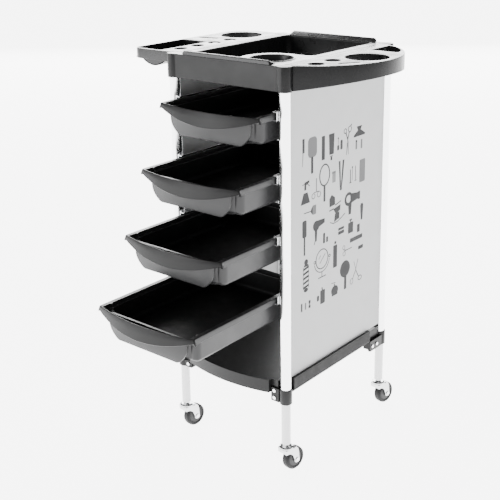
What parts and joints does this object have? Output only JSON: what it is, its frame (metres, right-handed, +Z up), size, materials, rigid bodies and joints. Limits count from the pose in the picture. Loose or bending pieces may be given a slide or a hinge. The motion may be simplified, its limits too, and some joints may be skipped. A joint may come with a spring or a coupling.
{
  "type": "rolling salon trolley",
  "caption": "Rolling hairdresser's trolley with sliding drawers between tube posts, a top tray with holder wings, a bottom shelf and swivel casters.",
  "frame": {"origin": "on the floor, under the middle of the bounding box with the drawers as stored", "axes": "+Z up, -Y towards the front where the drawers open, +X towards the right side seen from behind the drawers' pull side, so the printed side panel in the picture faces +X"},
  "size_m": [0.534, 0.6783, 0.868],
  "materials": {
    "black_plastic": "charcoal moulded plastic, fine satin texture",
    "panel": "pale grey satin paint with dark grey printed tool shapes on the outside",
    "post_tube": "satin anodised tube",
    "leg_tube": "very pale silver gloss coat",
    "runner_metal": "folded bright sheet",
    "zinc_screw": "bright zinc plate",
    "chrome": "polished chrome plate",
    "grey_hub": "mid grey moulded wheel centre",
    "tyre": "dark grey non-marking rubber"
  },
  "bodies": {
    "trolley_frame": {"top_tray": "black_plastic", "left_wing": "black_plastic", "right_wing": "black_plastic", "left_panel": "panel", "right_panel": "panel", "post_front_left": "post_tube", "post_front_right": "post_tube", "post_rear_left": "post_tube", "post_rear_right": "post_tube", "leg_front_left": "leg_tube", "leg_front_right": "leg_tube", "leg_rear_left": "leg_tube", "leg_rear_right": "leg_tube", "collar_front_left": "black_plastic", "collar_front_right": "black_plastic", "collar_rear_left": "black_plastic", "collar_rear_right": "black_plastic", "bottom_shelf": "black_plastic", "collar_screws": "zinc_screw", "runner_1_left": "runner_metal", "runner_1_right": "runner_metal", "runner_2_left": "runner_metal", "runner_2_right": "runner_metal", "runner_3_left": "runner_metal", "runner_3_right": "runner_metal", "runner_4_left": "runner_metal", "runner_4_right": "runner_metal", "runner_screws": "zinc_screw", "stem_front_left": "chrome", "stem_front_right": "chrome", "stem_rear_left": "chrome", "stem_rear_right": "chrome"},
    "drawer_body_1": {"drawer_1": "black_plastic"},
    "drawer_body_2": {"drawer_2": "black_plastic"},
    "drawer_body_3": {"drawer_3": "black_plastic"},
    "drawer_body_4": {"drawer_4": "black_plastic"},
    "swivel_front_left": {"fork_front_left": "chrome", "axle_front_left": "zinc_screw"},
    "roller_front_left": {"wheel_front_left": "grey_hub", "tyre_front_left": "tyre"},
    "swivel_front_right": {"fork_front_right": "chrome", "axle_front_right": "zinc_screw"},
    "roller_front_right": {"wheel_front_right": "grey_hub", "tyre_front_right": "tyre"},
    "swivel_rear_left": {"fork_rear_left": "chrome", "axle_rear_left": "zinc_screw"},
    "roller_rear_left": {"wheel_rear_left": "grey_hub", "tyre_rear_left": "tyre"},
    "swivel_rear_right": {"fork_rear_right": "chrome", "axle_rear_right": "zinc_screw"},
    "roller_rear_right": {"wheel_rear_right": "grey_hub", "tyre_rear_right": "tyre"}
  },
  "joints": [
    {"name": "drawer_1_slide", "type": "slide", "parent": "trolley_frame", "child": "drawer_body_1", "axis": [0, -1, 0], "range_m": [-0.0415, 0.2185]},
    {"name": "drawer_2_slide", "type": "slide", "parent": "trolley_frame", "child": "drawer_body_2", "axis": [0, -1, 0], "range_m": [-0.1015, 0.1585]},
    {"name": "drawer_3_slide", "type": "slide", "parent": "trolley_frame", "child": "drawer_body_3", "axis": [0, -1, 0], "range_m": [-0.155, 0.105]},
    {"name": "drawer_4_slide", "type": "slide", "parent": "trolley_frame", "child": "drawer_body_4", "axis": [0, -1, 0], "range_m": [-0.2335, 0.0265]},
    {"name": "swivel_front_left_turn", "type": "hinge", "parent": "trolley_frame", "child": "swivel_front_left", "pos_m": [-0.1426, -0.0626, 0.055], "axis": [0, 0, 1], "continuous": true},
    {"name": "roller_front_left_roll", "type": "hinge", "parent": "swivel_front_left", "child": "roller_front_left", "pos_m": [-0.13982, -0.04279, 0.025], "axis": [0.9903, -0.1392, 0], "continuous": true},
    {"name": "swivel_front_right_turn", "type": "hinge", "parent": "trolley_frame", "child": "swivel_front_right", "pos_m": [0.1426, -0.0626, 0.055], "axis": [0, 0, 1], "continuous": true},
    {"name": "roller_front_right_roll", "type": "hinge", "parent": "swivel_front_right", "child": "roller_front_right", "pos_m": [0.14538, -0.04279, 0.025], "axis": [0.9903, -0.1392, 0], "continuous": true},
    {"name": "swivel_rear_left_turn", "type": "hinge", "parent": "trolley_frame", "child": "swivel_rear_left", "pos_m": [-0.1426, 0.294, 0.055], "axis": [0, 0, 1], "continuous": true},
    {"name": "roller_rear_left_roll", "type": "hinge", "parent": "swivel_rear_left", "child": "roller_rear_left", "pos_m": [-0.13982, 0.31381, 0.025], "axis": [0.9903, -0.1392, 0], "continuous": true},
    {"name": "swivel_rear_right_turn", "type": "hinge", "parent": "trolley_frame", "child": "swivel_rear_right", "pos_m": [0.1426, 0.294, 0.055], "axis": [0, 0, 1], "continuous": true},
    {"name": "roller_rear_right_roll", "type": "hinge", "parent": "swivel_rear_right", "child": "roller_rear_right", "pos_m": [0.14538, 0.31381, 0.025], "axis": [0.9903, -0.1392, 0], "continuous": true}
  ]
}
